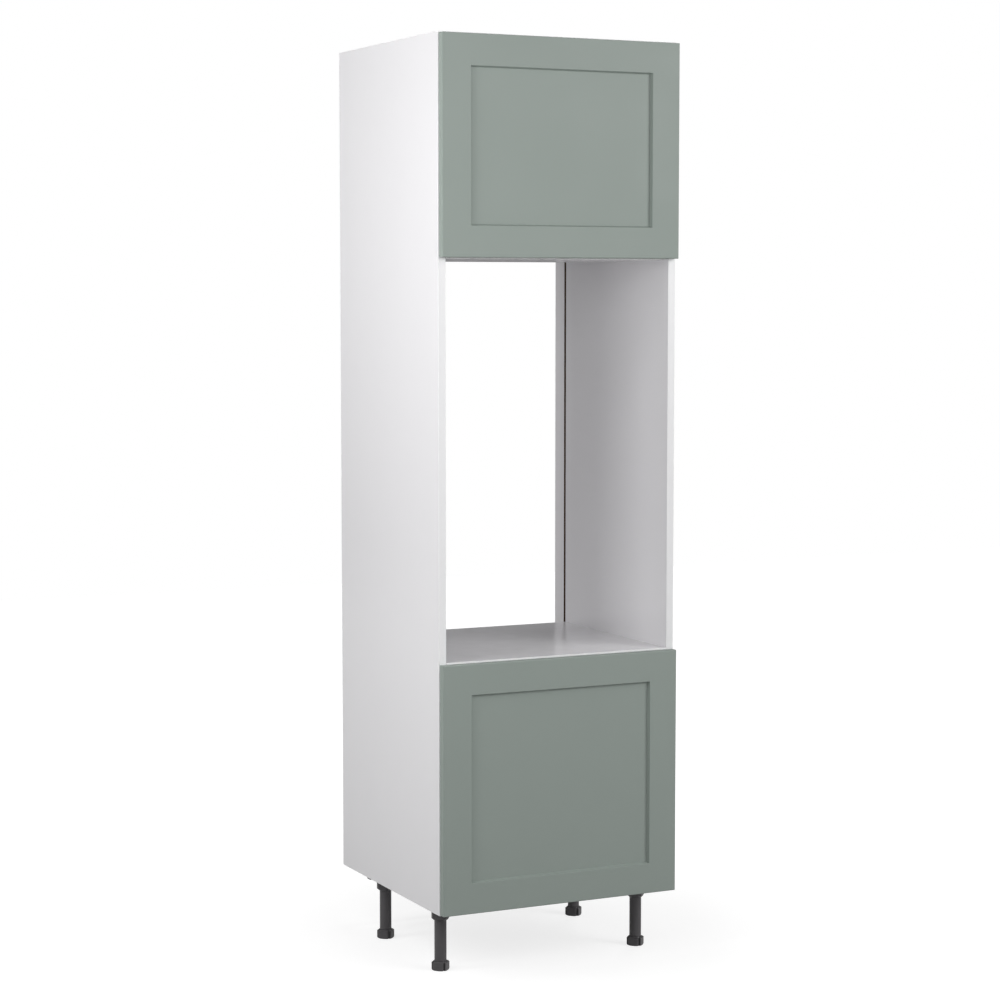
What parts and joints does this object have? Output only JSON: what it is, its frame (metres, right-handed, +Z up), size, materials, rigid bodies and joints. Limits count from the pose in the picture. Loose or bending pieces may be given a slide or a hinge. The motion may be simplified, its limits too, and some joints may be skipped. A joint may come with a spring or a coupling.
{
  "type": "tall oven housing unit",
  "caption": "Tall fitted kitchen unit with an open oven aperture between two cupboards, framed doors on cup hinges, a grooved white carcass and adjustable legs.",
  "frame": {"origin": "centre of the unit's footprint, doors included, on the floor", "axes": "+Z up, the doors face -Y, +X to the right as seen from the front"},
  "size_m": [0.6, 0.59, 2.12],
  "materials": {
    "white_melamine": "white melamine-faced chipboard, satin",
    "sage_door": "sage green foil-wrapped MDF, matt",
    "nickel_steel": "nickel-plated pressed steel",
    "clear_bumper": "clear soft plastic pad",
    "leg_plastic": "black moulded polypropylene, fine texture"
  },
  "bodies": {
    "carcass": {"side_panel_left": "white_melamine", "side_panel_right": "white_melamine", "base_panel": "white_melamine", "oven_shelf": "white_melamine", "middle_shelf": "white_melamine", "top_panel": "white_melamine", "lower_back_panel": "white_melamine", "upper_back_panel": "white_melamine", "lower_wall_rail": "white_melamine", "upper_wall_rail": "white_melamine", "lower_loose_shelf": "white_melamine", "upper_loose_shelf": "white_melamine", "lower_shelf_pin_front_left": "nickel_steel", "lower_shelf_pin_rear_left": "nickel_steel", "lower_shelf_pin_front_right": "nickel_steel", "lower_shelf_pin_rear_right": "nickel_steel", "upper_shelf_pin_front_left": "nickel_steel", "upper_shelf_pin_rear_left": "nickel_steel", "upper_shelf_pin_front_right": "nickel_steel", "upper_shelf_pin_rear_right": "nickel_steel", "lower_door_hinge_arm_bottom": "nickel_steel", "lower_door_hinge_arm_top": "nickel_steel", "upper_door_hinge_arm_bottom": "nickel_steel", "upper_door_hinge_arm_top": "nickel_steel", "lower_door_hinge_plate_bottom": "nickel_steel", "lower_door_hinge_plate_top": "nickel_steel", "upper_door_hinge_plate_bottom": "nickel_steel", "upper_door_hinge_plate_top": "nickel_steel", "leg_socket_front_left": "leg_plastic", "leg_socket_front_right": "leg_plastic", "leg_socket_rear_left": "leg_plastic", "leg_socket_rear_right": "leg_plastic", "leg_tube_front_left": "leg_plastic", "leg_tube_front_right": "leg_plastic", "leg_tube_rear_left": "leg_plastic", "leg_tube_rear_right": "leg_plastic"},
    "lower_door": {"lower_door": "sage_door", "lower_door_bumper_bottom": "clear_bumper", "lower_door_bumper_top": "clear_bumper", "lower_door_hinge_cup_bottom": "nickel_steel", "lower_door_hinge_cup_top": "nickel_steel"},
    "lower_hinge_links": {"lower_door_hinge_link_bottom": "nickel_steel", "lower_door_hinge_link_top": "nickel_steel"},
    "upper_door": {"upper_door": "sage_door", "upper_door_bumper_bottom": "clear_bumper", "upper_door_bumper_top": "clear_bumper", "upper_door_hinge_cup_bottom": "nickel_steel", "upper_door_hinge_cup_top": "nickel_steel"},
    "upper_hinge_links": {"upper_door_hinge_link_bottom": "nickel_steel", "upper_door_hinge_link_top": "nickel_steel"},
    "foot_front_left": {"leg_foot_front_left": "leg_plastic"},
    "foot_front_right": {"leg_foot_front_right": "leg_plastic"},
    "foot_rear_left": {"leg_foot_rear_left": "leg_plastic"},
    "foot_rear_right": {"leg_foot_rear_right": "leg_plastic"}
  },
  "joints": [
    {"name": "lower_door_swing", "type": "hinge", "parent": "carcass", "child": "lower_door", "pos_m": [0.2925, -0.2925, 0.436], "axis": [0, 0, 1], "range_deg": [0, 110]},
    {"name": "lower_link_turn", "type": "hinge", "parent": "lower_door", "child": "lower_hinge_links", "pos_m": [0.283, -0.285, 0.436], "axis": [0, 0, 1], "range_deg": [-88, 0]},
    {"name": "upper_door_swing", "type": "hinge", "parent": "carcass", "child": "upper_door", "pos_m": [0.2925, -0.2925, 1.872], "axis": [0, 0, 1], "range_deg": [0, 110]},
    {"name": "upper_link_turn", "type": "hinge", "parent": "upper_door", "child": "upper_hinge_links", "pos_m": [0.283, -0.285, 1.872], "axis": [0, 0, 1], "range_deg": [-88, 0]},
    {"name": "foot_front_left_height", "type": "slide", "parent": "carcass", "child": "foot_front_left", "axis": [0, 0, -1], "range_m": [0, 0.02]},
    {"name": "foot_front_right_height", "type": "slide", "parent": "carcass", "child": "foot_front_right", "axis": [0, 0, -1], "range_m": [0, 0.02]},
    {"name": "foot_rear_left_height", "type": "slide", "parent": "carcass", "child": "foot_rear_left", "axis": [0, 0, -1], "range_m": [0, 0.02]},
    {"name": "foot_rear_right_height", "type": "slide", "parent": "carcass", "child": "foot_rear_right", "axis": [0, 0, -1], "range_m": [0, 0.02]}
  ],
  "couplings": [
    {"joint": "lower_link_turn", "follows": "lower_door_swing", "ratio": -0.8},
    {"joint": "upper_link_turn", "follows": "upper_door_swing", "ratio": -0.8}
  ]
}
